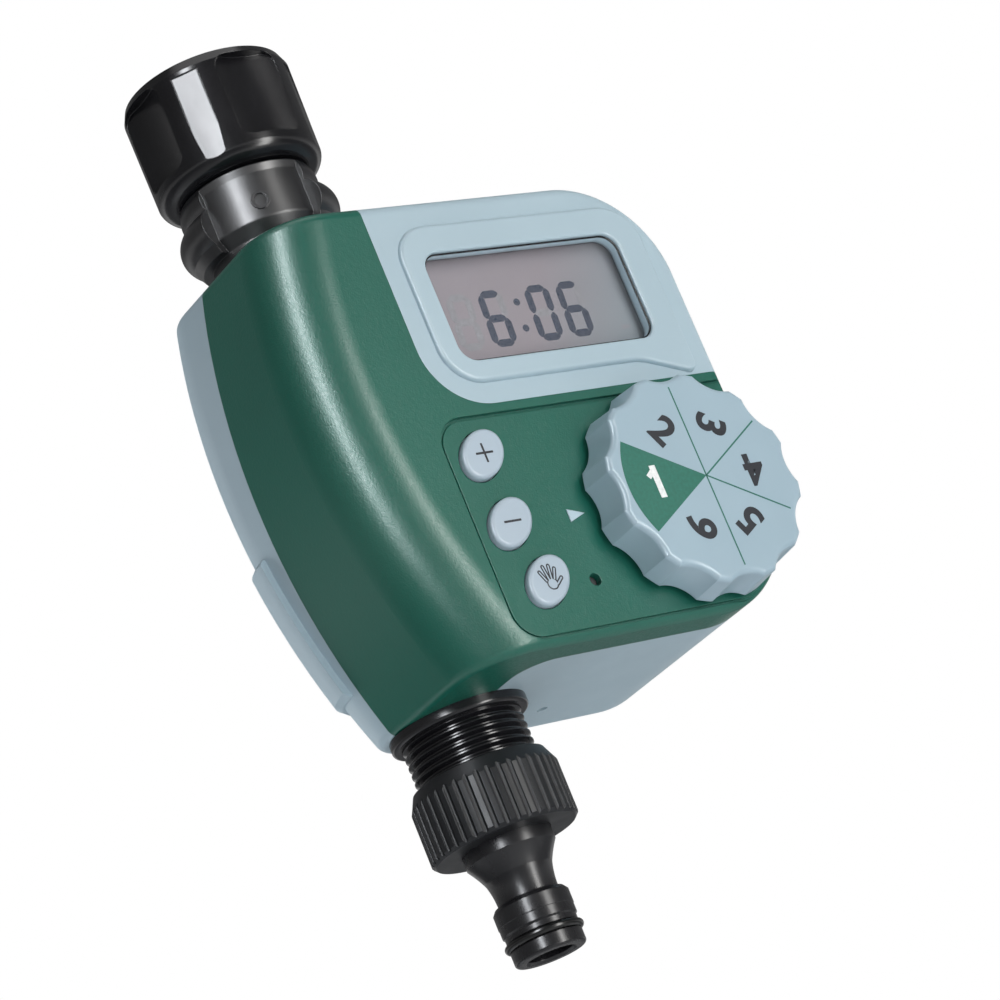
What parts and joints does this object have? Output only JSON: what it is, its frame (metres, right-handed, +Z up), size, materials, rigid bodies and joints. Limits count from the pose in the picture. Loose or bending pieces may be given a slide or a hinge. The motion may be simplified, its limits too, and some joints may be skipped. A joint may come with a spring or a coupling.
{
  "type": "drip irrigation timer",
  "caption": "Battery hose-tap watering timer: swivel inlet nut, valve column, clock display, selector knob, push buttons and click-fit outlet nipple.",
  "frame": {"origin": "on the water pipe's axis inside the inlet nut, where the end of the tap comes to rest above the washer", "axes": "+Z up the pipe into the tap, -Y out of the display, +X to the right seen from the front"},
  "size_m": [0.1028, 0.0662, 0.2068],
  "materials": {
    "green_shell": "fine leather grain",
    "grey_shell": "fine satin",
    "knob_plastic": "satin",
    "button_plastic": "satin",
    "black_plastic": "polished moulding",
    "charcoal_plastic": "satin moulding",
    "clear_plastic": "polished",
    "lcd": "polarised glass",
    "rubber": "matt",
    "silicone": "matt",
    "board": "solder mask",
    "chips": "moulded",
    "steel": "plated",
    "copper": "enamelled winding",
    "cell": "printed sleeve",
    "white_plastic": "moulded",
    "wire": "insulation",
    "marker": "satin"
  },
  "bodies": {
    "case": {"front_cover": "green_shell", "arrow_marker": "marker", "display_bezel": "grey_shell", "rear_shell": "grey_shell", "battery_tray": "charcoal_plastic", "battery_upper": "cell", "battery_lower": "cell", "battery_contacts": "steel", "display_lens": "clear_plastic", "lcd_glass": "lcd", "lcd_frame": "charcoal_plastic", "zebra_strips": "silicone", "circuit_board": "board", "board_parts": "chips", "case_screws": "steel", "key_switches": "chips", "key_mat": "silicone", "selector_switch": "chips", "shaft_seal": "rubber", "inlet_washer": "rubber", "inlet_filter": "white_plastic", "inlet_tailpiece": "black_plastic", "neck_seal": "rubber", "inlet_collar": "black_plastic", "valve_body": "black_plastic", "outlet_ring": "black_plastic", "diaphragm": "rubber", "valve_bonnet": "white_plastic", "bonnet_screws": "steel", "poppet_spring": "steel", "core_tube": "white_plastic", "solenoid_coil": "copper", "solenoid_can": "steel", "plunger_spring": "steel", "solenoid_leads": "wire", "battery_leads": "wire"},
    "inlet_nut": {"inlet_nut": "black_plastic"},
    "selector": {"selector_knob": "knob_plastic", "selector_shaft": "white_plastic"},
    "plus_button": {"plus_button": "button_plastic"},
    "minus_button": {"minus_button": "button_plastic"},
    "manual_button": {"manual_button": "button_plastic"},
    "reset_pin": {"reset_pin": "charcoal_plastic"},
    "plunger": {"solenoid_plunger": "steel"},
    "poppet": {"valve_poppet": "white_plastic"},
    "battery_door": {"battery_door": "grey_shell", "door_gasket": "silicone"},
    "outlet_connector": {"outlet_nipple": "black_plastic", "nipple_o_ring": "rubber", "outlet_washer": "rubber"},
    "outlet_nut": {"outlet_nut": "charcoal_plastic"}
  },
  "joints": [
    {"name": "inlet_nut_swivel", "type": "hinge", "parent": "case", "child": "inlet_nut", "pos_m": [0, 0, 0], "axis": [0, 0, 1], "continuous": true},
    {"name": "selector_turn", "type": "hinge", "parent": "case", "child": "selector", "pos_m": [0.0486, -0.0472, -0.11415], "axis": [0, 1, 0], "continuous": true},
    {"name": "plus_press", "type": "slide", "parent": "case", "child": "plus_button", "axis": [0, 1, 0], "range_m": [0, 0.0008], "stiffness_N_per_m": 600, "springref_m": -0.0008},
    {"name": "minus_press", "type": "slide", "parent": "case", "child": "minus_button", "axis": [0, 1, 0], "range_m": [0, 0.0008], "stiffness_N_per_m": 600, "springref_m": -0.0008},
    {"name": "manual_press", "type": "slide", "parent": "case", "child": "manual_button", "axis": [0, 1, 0], "range_m": [0, 0.0008], "stiffness_N_per_m": 600, "springref_m": -0.0008},
    {"name": "reset_press", "type": "slide", "parent": "case", "child": "reset_pin", "axis": [0, 1, 0], "range_m": [0, 0.0005], "stiffness_N_per_m": 600, "springref_m": -0.0008},
    {"name": "plunger_pull", "type": "slide", "parent": "case", "child": "plunger", "axis": [0, -1, 0], "range_m": [0, 0.0015], "stiffness_N_per_m": 200, "springref_m": -0.001, "deforming": ["plunger_spring"]},
    {"name": "poppet_lift", "type": "slide", "parent": "case", "child": "poppet", "axis": [0, -1, 0], "range_m": [0, 0.0021], "deforming": ["poppet_spring"]},
    {"name": "battery_door_pull", "type": "slide", "parent": "case", "child": "battery_door", "axis": [0, 1, 0], "range_m": [0, 0.02]},
    {"name": "outlet_connector_drop", "type": "slide", "parent": "case", "child": "outlet_connector", "axis": [0, 0, -1], "range_m": [0, 0.00795]},
    {"name": "outlet_nut_turn", "type": "hinge", "parent": "outlet_connector", "child": "outlet_nut", "pos_m": [0, 0, -0.16], "axis": [0, 0, -1], "range_deg": [0, 1580]}
  ],
  "couplings": [
    {"joint": "poppet_lift", "follows": "plunger_pull", "ratio": 1.3333},
    {"joint": "outlet_nut_turn", "follows": "outlet_connector_drop", "rad_per_m": 3463.7}
  ]
}
